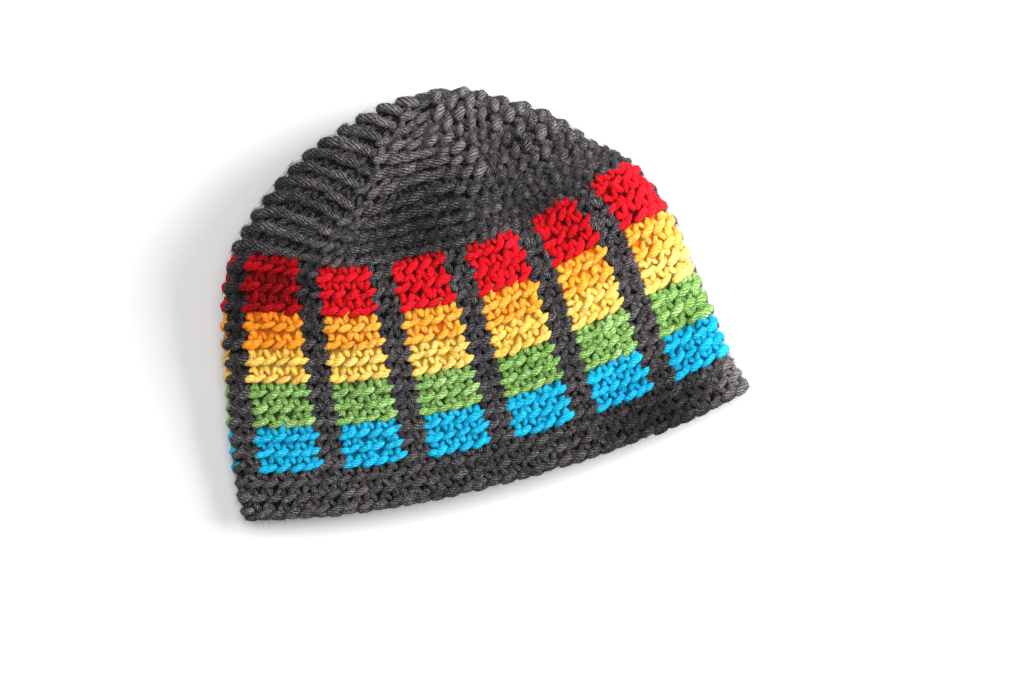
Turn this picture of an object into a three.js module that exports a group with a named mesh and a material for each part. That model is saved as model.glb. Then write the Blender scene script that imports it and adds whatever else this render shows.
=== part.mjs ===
// Crocheted beanie lying on its back: a soft shell worked in rounds from the centre of the crown,
// with twelve columns of colour blocks between narrow grey ribs.
// Millimetres, +Z up, the table at z = 0, the brim towards -Y and the crown towards +Y.
// A place on the fabric is (stitch, round): 72 stitches run round the side, stitches 0 to 36 over the
// top layer from the left fold to the right one and 36 to 72 back underneath, and the rounds are
// counted from the centre of the crown (0) to the edge of the brim (28).

import * as THREE from "three";

// Counts of the crochet work
const STITCHES_ROUND = 72;
const HALF_ROUND = STITCHES_ROUND / 2;
const CROWN_ROUNDS = 12;
const COLUMN_PITCH = 6;
const RIB_STITCHES = 2;
const LAST_COLOUR_ROUND = 25;
const WEB_END_ROUND = 26;
const BRIM_ROUND = 28;

// Fabric
const WALL = 5.5;
const RIDGE_DEPTH = 1.3;
const CARRIED_YARN = 1.2;
const STITCH_WIDTH = 6.9;
const ROUND_HEIGHT = 7.5;

// Clearance between two pieces, and half of it counted in stitches and in rounds
const GAP = 0.3;
const EDGE_STITCH = GAP / 2 / STITCH_WIDTH;
const EDGE_ROUND = GAP / 2 / ROUND_HEIGHT;

// Where the wall faces down this steeply, its ridges are pressed flat on the table
const PRESSED_FROM = 0.8;
const PRESSED_TO = 0.97;
const TABLE_SNAP = 0.05;

// Yarns
const GREY = 0x4b484c;
const COLOUR_BANDS = [
  { name: "red_band", color: 0xd71423, from: 12, to: 15 },
  { name: "orange_band", color: 0xfa961e, from: 15, to: 17 },
  { name: "yellow_band", color: 0xebbe50, from: 17, to: 19 },
  { name: "green_band", color: 0x73af4b, from: 19, to: 22 },
  { name: "blue_band", color: 0x19aae1, from: 22, to: 25 },
];

// Centre of the hat's bounding box in the frame of the section table
const BOX_CENTRE = new THREE.Vector3(0.7, 78.5, 0);

// The flattened tube, section by section from the crown's centre to the brim. Left and right are the
// middle of the wall at the two side folds, bow is how far the middle of a layer hangs below the
// straight line between the folds, top is the height of the upper layer, fold the radius of the side
// folds and bottom the height of the lower layer, all to the middle of the wall. Gather is how many
// stitches the upper layer is pushed in from the left and the right fold.
const SECTION_COLUMNS = [
  "round", "leftX", "leftY", "rightX", "rightY", "topBow", "bottomBow", "top", "fold", "bottom",
  "gatherLeft", "gatherRight",
];
const SECTION_ROWS = [
  [0, 8.5, 169.4, 8.5, 169.4, 0, 0, 25, 0, 25, 3, 3],
  [1.5, -9, 168.4, 26.5, 167.2, 7.5, -1, 32, 4.6, 19.8, 3.6, 4],
  [3, -24, 165.2, 37.5, 162, 13, -2, 37.5, 9, 15.5, 4, 4.5],
  [6, -53, 154.4, 63, 146.2, 17.5, -3, 46.5, 15, 8, 4.2, 5],
  [9, -77, 137.5, 81.2, 127, 20.5, 0, 52, 16, 3.6, 3.4, 3.8],
  [12, -95.8, 118.5, 95.2, 114, 20.5, 3, 53, 15, 2.75, 1, 1.2],
  [15, -105.8, 93.5, 106, 90, 20, 4, 48.5, 12, 2.75, 0.7, 0.6],
  [19, -112.8, 61.5, 111.6, 58.5, 17.5, 5, 40, 9, 2.75, 0.4, 0.4],
  [22, -116.4, 41, 114.8, 37.5, 15.5, 6, 33.5, 7.5, 2.75, 0.3, 0.4],
  [25, -119.6, 20, 117.6, 17.5, 14.5, 9, 27, 6, 2.75, 0.2, 0.2],
  [28, -120.6, -1, 123, 0, 14, 13, 20.5, 4.8, 2.75, 0, 0.2],
];

// Stitches where the gathers are strongest, and their half-width
const GATHER_LEFT = 3;
const GATHER_RIGHT = 32;
const GATHER_WIDTH = 6;

// How pointed the bow of a layer is across the hat, at the crown's edge and at the brim
const BOW_POWER_CROWN = 1.6;
const BOW_POWER_BRIM = 0.8;
const SWELL_POWER = 0.75;

// Knobs and dents pressed out of or into the upper layer: place, half-widths and height
const DENT_COLUMNS = ["stitch", "round", "stitches", "rounds", "height"];
const DENT_ROWS = [
  [10, 10.8, 2.4, 2.2, 3.6],
  [22, 10.6, 2.4, 2.4, 4],
  [34, 9.5, 2.2, 3, 2.2],
  [16, 12.2, 3, 1.1, -2.6],
  [5, 12.2, 3, 1.2, -1.6],
  [28.5, 10.6, 3.6, 2.2, -4.6],
  [25, 12.2, 2.2, 1.2, -2],
];

// Where the rounds leave their even course, in rounds. The increases pull them to a point at each of the
// crown's six corners, and some stretches between the corners are drawn up towards its centre.
const CORNER_COLUMNS = ["stitch", "round", "stitches", "rounds", "push"];
const CORNER_ROWS = [
  [10, 8.5, 9, 4, 0.95],
  [22, 7, 6, 4, 0.35],
  [34, 7, 6, 4, 0.35],
  [46, 7, 6, 4, 0.35],
  [58, 7, 6, 4, 0.35],
  [70, 7, 6, 4, 0.2],
];
const DRAW_COLUMNS = ["stitch", "round", "stitches", "rounds", "push"];
const DRAW_ROWS = [
  [1, 9, 5, 4, -0.45],
  [16.5, 10, 4.5, 3.5, -0.5],
  [34, 12, 3, 2.5, -0.3],
];

function namedRows(columns, rows) {
  return rows.map((row) => Object.fromEntries(columns.map((column, i) => [column, row[i]])));
}

const sections = namedRows(SECTION_COLUMNS, SECTION_ROWS);
const dents = namedRows(DENT_COLUMNS, DENT_ROWS);
const corners = namedRows(CORNER_COLUMNS, CORNER_ROWS);
const draws = namedRows(DRAW_COLUMNS, DRAW_ROWS);

function mix(a, b, t) {
  return a + (b - a) * t;
}

// Slope of one column of the section table at a row, from the rows beside it
function columnSlope(column, i) {
  const before = sections[Math.max(i - 1, 0)];
  const after = sections[Math.min(i + 1, sections.length - 1)];
  return (after[column] - before[column]) / (after.round - before.round);
}

// One section at any round: a smooth curve through the rows of the table
function sectionAt(round) {
  const next = sections.findIndex((row) => row.round > round);
  const index = next < 0 ? sections.length - 2 : next - 1;
  const from = sections[index];
  const to = sections[index + 1];
  const span = to.round - from.round;
  const t = (round - from.round) / span;
  const section = { round };
  for (const column of SECTION_COLUMNS.slice(1)) {
    const start = columnSlope(column, index) * span;
    const end = columnSlope(column, index + 1) * span;
    const a = (2 * t ** 3 - 3 * t ** 2 + 1) * from[column] + (t ** 3 - 2 * t ** 2 + t) * start;
    const b = (3 * t ** 2 - 2 * t ** 3) * to[column] + (t ** 3 - t ** 2) * end;
    section[column] = a + b;
  }
  return section;
}

function wrapStitch(stitch) {
  return ((stitch % STITCHES_ROUND) + STITCHES_ROUND) % STITCHES_ROUND;
}

function bell(distance, width) {
  return Math.exp(-((distance / width) ** 2));
}

// Where a stitch lies once the gathers have pushed it in from the side folds
function gatheredStitch(stitch, section) {
  const place = wrapStitch(stitch + HALF_ROUND / 2) - HALF_ROUND / 2;
  const left = section.gatherLeft * bell(place - GATHER_LEFT, GATHER_WIDTH);
  const right = section.gatherRight * bell(place - GATHER_RIGHT, GATHER_WIDTH);
  return wrapStitch(place + left - right);
}

// Middle of the wall without dents: a flattened tube whose layers are joined by round side folds
function smoothPoint(stitch, round) {
  const section = sectionAt(round);
  const place = gatheredStitch(stitch, section);
  const onTop = place <= HALF_ROUND;
  const share = (onTop ? place : STITCHES_ROUND - place) / HALF_ROUND;
  const width = Math.hypot(section.rightX - section.leftX, section.rightY - section.leftY);
  const fold = Math.max(section.fold, 1e-6);
  const quarter = (Math.PI / 2) * fold;
  const path = Math.max(width, 2e-6) - 2 * fold + 2 * quarter;
  const along = share * path;
  const fromEnd = path - along;
  const angle = Math.min(along, fromEnd, quarter) / fold;
  const inset = fold * (1 - Math.cos(angle)) + Math.max(0, Math.min(along, fromEnd) - quarter);
  const across = (along <= fromEnd ? inset : width - inset) / Math.max(width, 2e-6);
  const rise = fold * Math.sin(angle);
  const swell = Math.max(0, 4 * across * (1 - across));
  const crownShare = THREE.MathUtils.clamp((BRIM_ROUND - round) / (BRIM_ROUND - CROWN_ROUNDS), 0, 1);
  const bowed = swell ** mix(BOW_POWER_BRIM, BOW_POWER_CROWN, crownShare);
  const middle = section.bottom + fold;
  const hump = (section.top - section.bottom - 2 * fold) * swell ** SWELL_POWER;
  return new THREE.Vector3(
    mix(section.leftX, section.rightX, across),
    mix(section.leftY, section.rightY, across) - (onTop ? section.topBow : section.bottomBow) * bowed,
    onTop ? middle + rise + hump : middle - rise,
  );
}

function normalOf(pointAt, stitch, round) {
  const step = 0.25;
  const near = Math.max(round, 0.6);
  const alongStitches = pointAt(stitch + step, near).sub(pointAt(stitch - step, near));
  const alongRounds = pointAt(stitch, near + step).sub(pointAt(stitch, near - step));
  return alongRounds.cross(alongStitches).normalize();
}

function dentHeight(stitch, round) {
  let height = 0;
  for (const dent of dents) {
    const beside = bell(stitch - dent.stitch, dent.stitches);
    height += dent.height * beside * bell(round - dent.round, dent.rounds);
  }
  return height;
}

function tent(distance, width) {
  return Math.max(0, 1 - Math.abs(distance) / width);
}

// Shortest way round from one stitch to another
function stitchesBetween(from, to) {
  return wrapStitch(to - from + HALF_ROUND) - HALF_ROUND;
}

// How far a stitch lies from the even course of its round, towards the brim
function roundPush(stitch, round) {
  let push = 0;
  for (const corner of corners) {
    const beside = tent(stitchesBetween(corner.stitch, stitch), corner.stitches);
    push += corner.push * beside * bell(round - corner.round, corner.rounds);
  }
  for (const draw of draws) {
    const beside = bell(stitchesBetween(draw.stitch, stitch), draw.stitches);
    push += draw.push * beside * bell(round - draw.round, draw.rounds);
  }
  return push * Math.min(1, round / 3);
}

function wallPoint(stitch, round) {
  const place = wrapStitch(stitch);
  const at = round + roundPush(place, round);
  const height = dentHeight(place, at) + dentHeight(place - STITCHES_ROUND, at);
  return smoothPoint(place, at).addScaledVector(normalOf(smoothPoint, place, at), height);
}

// Outward direction at the crown's centre, where all the stitches of round one meet
const crownAxis = new THREE.Vector3();
for (let stitch = 0; stitch < STITCHES_ROUND; stitch += COLUMN_PITCH) {
  crownAxis.add(normalOf(wallPoint, stitch, 0.6));
}
crownAxis.normalize();

// A point of the fabric at a depth: 0 is the outside face and 1 the inside face. The ridge of each
// round stands out by the ridge depth, except where the hat's own weight flattens it on the table.
function fabricPoint(stitch, round, depth) {
  const normal = round === 0 ? crownAxis : normalOf(wallPoint, stitch, round);
  const pressed = THREE.MathUtils.smoothstep(-normal.z, PRESSED_FROM, PRESSED_TO);
  const groove = 0.5 + 0.5 * Math.cos(2 * Math.PI * round);
  const relief = RIDGE_DEPTH * groove * (1 - pressed) * (1 - depth);
  const point = wallPoint(stitch, round).addScaledVector(normal, WALL / 2 - WALL * depth - relief);
  point.z = point.z < TABLE_SNAP ? 0 : point.z;
  return point.sub(BOX_CENTRE);
}

// Edges of the mesh's cells round the hat: both sides and the middle of every block, the sides of
// every rib, and closer lines at the two folds. The inset moves the two sides of each rib towards
// each other, or apart where it is negative.
function stitchLines(ribInset) {
  const shifts = { 0: ribInset, [RIB_STITCHES]: -ribInset };
  const lines = [];
  for (let stitch = 0; stitch < STITCHES_ROUND; stitch += 1) {
    const beside = stitch % HALF_ROUND;
    if (stitch % 2 === 0 || beside === 1 || beside === HALF_ROUND - 1) {
      lines.push({ stitch, at: stitch + (shifts[stitch % COLUMN_PITCH] ?? 0) });
    }
  }
  return lines;
}

function isRib(stitch) {
  return stitch % COLUMN_PITCH < RIB_STITCHES;
}

// Which of the two sides of a strip of triangles goes first where they are level
const LEFT_LEADS = 0.001;
const RIGHT_LEADS = -0.001;

// One closed body out of a grid of cells, spans of stitches by spans of rounds. Depths are the faces
// between the layers of the wall, and layersAt tells which layers a cell has. Every layer gets a face
// or a wall wherever the cell beside, above or below it lacks that layer.
class Shell {
  constructor(depths, spans, ribInset, layersAt) {
    this.depths = depths;
    this.spans = spans;
    this.lines = stitchLines(ribInset);
    this.layersAt = layersAt;
    this.positions = [];
    this.triangles = [];
    this.vertexNumbers = new Map();
  }

  has(row, column, layer) {
    if (row < 0 || row >= this.spans.length || layer < 0 || layer > this.depths.length - 2) {
      return false;
    }
    const line = this.lines[(column + this.lines.length) % this.lines.length];
    return this.layersAt(line.stitch, this.spans[row])[layer];
  }

  vertex(column, round, depth) {
    const place = round === 0 ? 0 : column % this.lines.length;
    const name = `${place} ${round.toFixed(4)} ${depth.toFixed(4)}`;
    if (!this.vertexNumbers.has(name)) {
      this.vertexNumbers.set(name, this.positions.length / 3);
      this.positions.push(...fabricPoint(this.lines[place].at, round, depth));
    }
    return this.vertexNumbers.get(name);
  }

  // Vertices down one stitch line over a span of rounds, in half rounds on the ribbed outside face
  lineDown(column, span, depth) {
    const steps = depth === 0 ? Math.round(2 * (span.to - span.from)) : 1;
    const rounds = Array.from({ length: steps + 1 }, (_, i) => mix(span.from, span.to, i / steps));
    return rounds.map((round) => this.vertex(column, round, depth));
  }

  lineAcross(column, round, depth) {
    return [this.vertex(column, round, depth), this.vertex(column + 1, round, depth)];
  }

  triangle(a, b, c) {
    if (a !== b && b !== c && c !== a) {
      this.triangles.push(a, b, c);
    }
  }

  // Triangles between two lines of vertices that run side by side, whatever their counts. Seen from
  // outside the body, the left line is on the left when both run downwards. The lead decides which
  // way a square is cut, so that two facing walls are cut alike and keep their clearance.
  strip(left, right, lead = LEFT_LEADS) {
    let i = 0;
    let j = 0;
    while (i < left.length - 1 || j < right.length - 1) {
      const leftShare = (i + 0.5) / (left.length - 1);
      const rightShare = (j + 0.5) / (right.length - 1);
      if (leftShare < rightShare + lead) {
        this.triangle(left[i], left[i + 1], right[j]);
        i += 1;
      } else {
        this.triangle(left[i], right[j + 1], right[j]);
        j += 1;
      }
    }
  }

  addLayer(row, column, layer) {
    const span = this.spans[row];
    const [outer, inner] = [this.depths[layer], this.depths[layer + 1]];
    const down = (at, depth) => this.lineDown(at, span, depth);
    if (!this.has(row, column, layer - 1)) {
      this.strip(down(column, outer), down(column + 1, outer));
    }
    if (!this.has(row, column, layer + 1)) {
      this.strip(down(column + 1, inner), down(column, inner), RIGHT_LEADS);
    }
    if (!this.has(row, column - 1, layer)) {
      this.strip(down(column, inner), down(column, outer));
    }
    if (!this.has(row, column + 1, layer)) {
      this.strip(down(column + 1, outer), down(column + 1, inner));
    }
    const across = (round, depth) => this.lineAcross(column, round, depth);
    if (!this.has(row - 1, column, layer) && span.from > 0) {
      this.strip(across(span.from, outer), across(span.from, inner), RIGHT_LEADS);
    }
    if (!this.has(row + 1, column, layer)) {
      this.strip(across(span.to, inner), across(span.to, outer));
    }
  }

  geometry() {
    for (let row = 0; row < this.spans.length; row += 1) {
      for (let column = 0; column < this.lines.length; column += 1) {
        for (let layer = 0; layer < this.depths.length - 1; layer += 1) {
          if (this.has(row, column, layer)) {
            this.addLayer(row, column, layer);
          }
        }
      }
    }
    const geometry = new THREE.BufferGeometry();
    geometry.setAttribute("position", new THREE.Float32BufferAttribute(this.positions, 3));
    geometry.setIndex(this.triangles);
    geometry.computeVertexNormals();
    return geometry;
  }
}

function spansBetween(...rounds) {
  return rounds.slice(1).map((to, i) => ({ from: rounds[i], to }));
}

function addPiece(name, color, shell) {
  const material = new THREE.MeshStandardMaterial({ color, roughness: 0.9, metalness: 0 });
  const mesh = new THREE.Mesh(shell.geometry(), material);
  mesh.name = name;
  hat.add(mesh);
}

const hat = new THREE.Group();
const carriedFrom = 1 - CARRIED_YARN / WALL;
const ribTo = 1 - (CARRIED_YARN + GAP) / WALL;

// Crown: rounds 1 to 12, through the whole wall
const crownSpans = spansBetween(0, 3, 6, 9, CROWN_ROUNDS - EDGE_ROUND);
addPiece("crown", GREY, new Shell([0, 1], crownSpans, 0, () => [true]));

// Side web: the twelve ribs, thinner where the carried yarn passes behind them, and the grey round
// under the blocks that joins them
const webTop = CROWN_ROUNDS + EDGE_ROUND;
const webRound = { from: LAST_COLOUR_ROUND + EDGE_ROUND, to: WEB_END_ROUND - EDGE_ROUND };
const bandEnds = COLOUR_BANDS.slice(0, -1).map((band) => band.to);
const webSpans = [...spansBetween(webTop, ...bandEnds, webRound.from), webRound];
function webLayers(stitch, span) {
  return span === webRound ? [true, true] : [isRib(stitch), false];
}
addPiece("side_web", GREY, new Shell([0, ribTo, 1], webSpans, EDGE_STITCH, webLayers));

// Colour bands: blocks through the whole wall, joined by the yarn carried behind the ribs
function bandLayers(stitch) {
  return [!isRib(stitch), true];
}
for (const band of COLOUR_BANDS) {
  const spans = spansBetween(band.from + EDGE_ROUND, band.to - EDGE_ROUND);
  addPiece(band.name, band.color, new Shell([0, carriedFrom, 1], spans, -EDGE_STITCH, bandLayers));
}

// Brim: the last two grey rounds
const brimSpans = spansBetween(WEB_END_ROUND + EDGE_ROUND, BRIM_ROUND);
addPiece("brim_band", GREY, new Shell([0, 1], brimSpans, 0, () => [true]));

export default hat;
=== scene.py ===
"""Crocheted beanie on a white table, stitch by stitch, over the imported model's frame.

A place on the fabric is (stitch, round): 72 stitches run round the side, from the left fold over the
top layer and back underneath, and the rounds are counted from the centre of the crown (0) to the edge
of the brim (28). The hat's sizes are millimetres up to mesh_object, which turns them into metres.
"""
import math
from collections import namedtuple

import bpy
import numpy as np
from mathutils import Matrix, Vector


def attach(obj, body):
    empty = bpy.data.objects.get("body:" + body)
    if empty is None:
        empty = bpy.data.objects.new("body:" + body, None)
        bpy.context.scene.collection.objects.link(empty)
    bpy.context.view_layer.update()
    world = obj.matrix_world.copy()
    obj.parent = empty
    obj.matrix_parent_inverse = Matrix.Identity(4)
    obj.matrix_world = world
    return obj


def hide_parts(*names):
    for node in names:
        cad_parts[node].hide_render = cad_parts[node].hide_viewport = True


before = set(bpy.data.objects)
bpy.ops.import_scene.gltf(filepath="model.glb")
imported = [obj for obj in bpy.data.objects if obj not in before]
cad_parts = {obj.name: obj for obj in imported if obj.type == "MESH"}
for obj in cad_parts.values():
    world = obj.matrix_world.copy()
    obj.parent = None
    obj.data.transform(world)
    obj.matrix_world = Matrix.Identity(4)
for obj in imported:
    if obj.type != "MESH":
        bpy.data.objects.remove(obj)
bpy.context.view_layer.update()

MM = 0.001
FULL_TURN = 2 * math.pi

# How the hat is worked: columns of two rib stitches and four coloured ones, six stitches more in each
# round of the crown, and the rounds at which the crown, the colours, the web of ribs and the brim end
STITCHES_ROUND = 72
HALF_ROUND = STITCHES_ROUND / 2
COLUMN_PITCH = 6
RIB_STITCHES = 2
CROWN_INCREASES = 6
CROWN_ROUNDS = 12
COLOURS_END = 25
WEB_END = 26
BRIM_ROUND = 28

# The parts of the hat. A part takes the rounds from its first to the one before its end
Part = namedtuple("Part", "name cad_node yarn first_round end_round")
PARTS = (
    Part("crown", "crown", "grey_yarn", 0, CROWN_ROUNDS),
    Part("ribs", "side_web", "grey_yarn", CROWN_ROUNDS, WEB_END),
    Part("brim", "brim_band", "grey_yarn", WEB_END, BRIM_ROUND),
    Part("red", "red_band", "red_yarn", CROWN_ROUNDS, 15),
    Part("orange", "orange_band", "orange_yarn", 15, 17),
    Part("yellow", "yellow_band", "yellow_yarn", 17, 19),
    Part("green", "green_band", "green_yarn", 19, 22),
    Part("blue", "blue_band", "blue_yarn", 22, COLOURS_END),
)

# Shadow, middle and lit colour of the strands as linear red, green and blue, how far the tone varies
# from strand to strand, and the loose fibres on each stitch
Yarn = namedtuple("Yarn", "shadow middle lit mottle fibres")
YARNS = {
    "grey_yarn": Yarn((0.0025, 0.0020, 0.0022), (0.0235, 0.0207, 0.022), (0.235, 0.215, 0.223), 0.18, 58),
    "red_yarn": Yarn((0.11, 0.0002, 0.001), (0.66, 0.001, 0.006), (1.0, 0.018, 0.038), 0.22, 40),
    "orange_yarn": Yarn((0.90, 0.17, 0.005), (1.0, 0.37, 0.022), (1.0, 0.60, 0.12), 0.22, 40),
    "yellow_yarn": Yarn((0.80, 0.38, 0.025), (0.98, 0.57, 0.080), (1.0, 0.80, 0.28), 0.22, 40),
    "green_yarn": Yarn((0.028, 0.085, 0.012), (0.155, 0.345, 0.056), (0.50, 0.74, 0.31), 0.22, 40),
    "blue_yarn": Yarn((0.001, 0.17, 0.33), (0.002, 0.40, 0.67), (0.03, 0.58, 0.89), 0.22, 40),
}

# Centre of the hat's bounding box in the frame of the section table
BOX_CENTRE = np.array([0.7, 78.5, 0.0])

# The flattened tube, section by section from the crown's centre to the brim, to the wall's middle
SECTION_COLUMNS = (
    "round", "left_x", "left_y", "right_x", "right_y", "top_bow", "bottom_bow", "top", "fold",
    "bottom", "gather_left", "gather_right",
)
SECTION_ROWS = np.array([
    (0, 8.5, 169.4, 8.5, 169.4, 0, 0, 25, 0, 25, 3, 3),
    (1.5, -9, 168.4, 26.5, 167.2, 7.5, -1, 32, 4.6, 19.8, 3.6, 4),
    (3, -24, 165.2, 37.5, 162, 13, -2, 37.5, 9, 15.5, 4, 4.5),
    (6, -53, 154.4, 63, 146.2, 17.5, -3, 46.5, 15, 8, 4.2, 5),
    (9, -77, 137.5, 81.2, 127, 20.5, 0, 52, 16, 3.6, 3.4, 3.8),
    (12, -95.8, 118.5, 95.2, 114, 20.5, 3, 53, 15, 2.75, 1, 1.2),
    (15, -105.8, 93.5, 106, 90, 20, 4, 48.5, 12, 2.75, 0.7, 0.6),
    (19, -112.8, 61.5, 111.6, 58.5, 17.5, 5, 40, 9, 2.75, 0.4, 0.4),
    (22, -116.4, 41, 114.8, 37.5, 15.5, 6, 33.5, 7.5, 2.75, 0.3, 0.4),
    (25, -119.6, 20, 117.6, 17.5, 14.5, 9, 27, 6, 2.75, 0.2, 0.2),
    (28, -120.6, -1, 123, 0, 14, 13, 20.5, 4.8, 2.75, 0, 0.2),
])

# Stitches at which the fabric gathers beside the folds and half the width of that, the powers that
# shape the bows and the swell of the upper layer, and the least length that anything is divided by
GATHER_LEFT = 3
GATHER_RIGHT = 32
GATHER_WIDTH = 6
BOW_POWER_CROWN = 1.6
BOW_POWER_BRIM = 0.8
SWELL_POWER = 0.75
LEAST_LENGTH = 1e-6

# The next four tables have one spot a row: stitch, round, half-width in stitches, half-width in
# rounds, amount. First, knobs and dents pressed out of or into the upper layer, in millimetres
DENTS = (
    (10, 10.8, 2.4, 2.2, 3.6),
    (22, 10.6, 2.4, 2.4, 4),
    (34, 9.5, 2.2, 3, 2.2),
    (16, 12.2, 3, 1.1, -2.6),
    (5, 12.2, 3, 1.2, -1.6),
    (28.5, 10.6, 3.6, 2.2, -4.6),
    (25, 12.2, 2.2, 1.2, -2),
)

# Where the rounds leave their even course, in rounds towards the brim. The increases pull them to a
# point at each of the crown's six corners, and some stretches are drawn up between them. The pushes
# grow from nothing over the first rounds
CORNERS = (
    (10, 8.5, 9, 4, 0.95),
    (22, 7, 6, 4, 0.35),
    (34, 7, 6, 4, 0.35),
    (46, 7, 6, 4, 0.35),
    (58, 7, 6, 4, 0.35),
    (70, 7, 6, 4, 0.2),
)
DRAWS = (
    (1, 9, 5, 4, -0.45),
    (16.5, 10, 4.5, 3.5, -0.5),
    (18.5, 6.5, 5, 2.6, -0.55),
    (34, 12, 3, 2.5, -0.3),
)
PUSH_FADE = 3

# Painted shade and painted light: spots where the yarn's colour is painted darker, as shade in the folds
# and hollows and on stretches turned from the light, or lighter, as light on the knobs, the crown's top
# and the stretches that face the light
PAINTED_SHADE_AND_LIGHT = (
    (4, 13.6, 3, 1.5, -2.3),
    (28.5, 13.5, 3, 1.6, -0.8),
    (16, 9.6, 4.5, 3, -1.5),
    (0, 8, 6, 4, -0.4),
    (27.5, 11, 4, 1.5, -1.2),
    (30, 2.5, 26, 3, 0.9),
    (30, 27, 4.5, 3, -1.6),
    (18, 27, 8, 2, -0.5),
    (21.5, 19.5, 3, 4, -0.6),
    (36, 26.8, 2.2, 2.2, 2.1),
    (35, 16.8, 2, 2.6, 1.5),
    (34, 23.2, 2, 2.6, -0.7),
    (3.5, 16, 3.5, 1.8, -1.5),
    (5, 27, 9, 3, 0.2),
    (10, 9, 2, 4, 0.5),
)

# Half the distance over which a slope is measured, the first round where slopes hold, and the round
# that stands for the very centre of the crown
SLOPE_STEP = 0.25
FIRST_SLOPE_ROUND = 0.6
CENTRE_ROUND = 0.02

# Below this height the hat's own weight presses its stitches flat on the table
PRESS_HEIGHT = 1.6

# A strand swells from its ends by this power of a sine. Its plies show as shallow lobes that twist by
# this share of a turn, and its thickness is a little uneven. It is at most so much fuller where the
# fabric is wider than is usual in its piece, and its tips reach on by a share of the end's radius
BELLY_POWER = 0.6
STRAND_PLIES = 4
STRAND_TWIST = 0.3
LOBE_DEPTH = 0.04
UNEVENNESS = 0.05
FULLEST = 1.3
TIP_REACH = 0.8

# Columns of a table of small differences from stitch to stitch: place along the round, slant, place
# across the round, height, thickness and shade. Their spreads, and the most spreads that one is away
ALONG, SLANT, ACROSS, HEIGHT, GIRTH, SHADE = range(6)
SPREADS = np.array([0.06, 0.22, 0.04, 0.22, 0.09, 1.0])
MOST_SPREADS = 2

# Seeds of the random draws: how far apart those of two parts and of two stretches of the crown are, how
# far those of the inside bars and of the fibres are from the part's first, and the edge loops' own
PART_SEEDS = 100
STRETCH_SEEDS = 10
INSIDE_SEED = 50
FIBRE_SEED = 1000
EDGE_SEED = 77

# How far down its round a stitch's ridge lies
RIDGE_PLACE = 0.74

# How far the crown's stitches share out the length of their round, over how many last rounds that
# gives way to the counted places of the side's stitches, and the lines a stitch that measure a round
EVEN_SHARE = 0.85
EVEN_FADE = 3
LINES_A_STITCH = 5

# Width of a colour block's stitches, in stitches
BLOCK_SHARE = 0.95

# Millimetres by which the three strands of a stitch lie higher than their paths say
NO_LIFTS = (0, 0, 0)
RIB_LIFTS = (-0.3, -0.3, -0.3)

# Loose fibres that stand off the yarn: shortest, longest, half thickness at the root, how far out in
# the strand they start, least and most rise, least and most shade, which paints them towards the yarn's
# lit tone as painted light, and the sides, the faces and the yarn coordinates of each
FIBRE_SHORT = 1
FIBRE_LONG = 5
FIBRE_THICK = 0.125
FIBRE_ROOT = 0.85
FIBRE_RISE = (-0.1, 0.4)
FIBRE_PAINTED_LIGHT = (1.5, 4.0)
FIBRE_SIDES = 3
FIBRE_FACES = ((0, 1, 3), (1, 2, 3), (2, 0, 3), (0, 2, 1))
FIBRE_YARN = ((0.2, 0.3), (0.5, 0.5), (0.8, 0.7))

# The thin backing that the stitches' hidden strands make: cells to a stitch and to a round, heights of
# its two faces, how far it stops short of the brim's edge, in rounds, and its shade, a painted shade that
# darkens it to the shadow tone in the gaps between the stitches
BACK_CELLS = 2
BACK_OUTER = -0.9
BACK_INNER = -2.2
BACK_RIM = 0.15
BACK_PAINTED_SHADE = -2.4

# How the shader draws a strand: its plies and their turns, streaks that wind along it and start
# elsewhere on each strand, and single fibres and patches, whose scales are per metre of the hat
SHADED_PLIES = 7.0
SHADED_TURNS = 0.55
STREAK_SCALE = 4.8
STREAK_RUN = 1.6
STREAK_START = 37.0
STREAK_DETAIL = 2.0
FIBRE_SCALE = 1700.0
FIBRE_DETAIL = 3.0
FIBRE_ROUGHNESS = 0.7
PATCH_SCALE = 260.0
PATCH_DETAIL = 2.0

# A noise is spread out to the whole range from dark to light by this slope and start
CONTRAST = 3.8
CONTRAST_START = -1.4

# Shares of the streaks and the plies in the ply mask, of ply and fibre in the tone and in the relief,
# and the relief's depth in metres
STREAK_SHARE = 0.6
PLY_SHARE = 0.5
# The ply mask's share in the tone is partly painted highlight and shade: ply crests lighter and the
# grooves between them darker, beside the random streaks
PLY_TONE = 0.62
FIBRE_TONE = 0.38
PLY_RELIEF = 0.75
FIBRE_RELIEF = 0.5
RELIEF = 0.0009

# Finish of the yarn and of the table, and half the table's side in metres
YARN_ROUGHNESS = 0.88
YARN_SPECULAR = 0.05
SHEEN_WEIGHT = 0.02
SHEEN_ROUGHNESS = 0.45
TABLE_TONE = 0.50
TABLE_ROUGHNESS = 0.7
TABLE_SPECULAR = 0.1
TABLE_REACH = 2.5

# The photo's camera, straight above the hat and rolled: the picture's right and up directions on the
# table, the point under the lens, its height and the width of table that it sees, in millimetres. The
# range that it draws is in metres
CAMERA_RIGHT = Vector((0.9694, -0.2456, 0))
CAMERA_UP = Vector((0.2456, 0.9694, 0))
CAMERA_POINT = Vector((20.6, -30.3, 0))
CAMERA_HEIGHT = 2000
VIEW_WIDTH = 487.4
SENSOR_WIDTH = 36
CAMERA_RANGE = (0.1, 20)

# Square soft lights: name, place as picture right, picture up and height, side in metres, and watts.
# Beside them, the strength of the room's even light
LIGHTS = (
    ("window", (1.3, 0.3, 0.9), 0.9, 58),
    ("ceiling", (-0.2, 0.4, 1.8), 1.4, 44),
)
ROOM_LIGHT = 0.37


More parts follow.
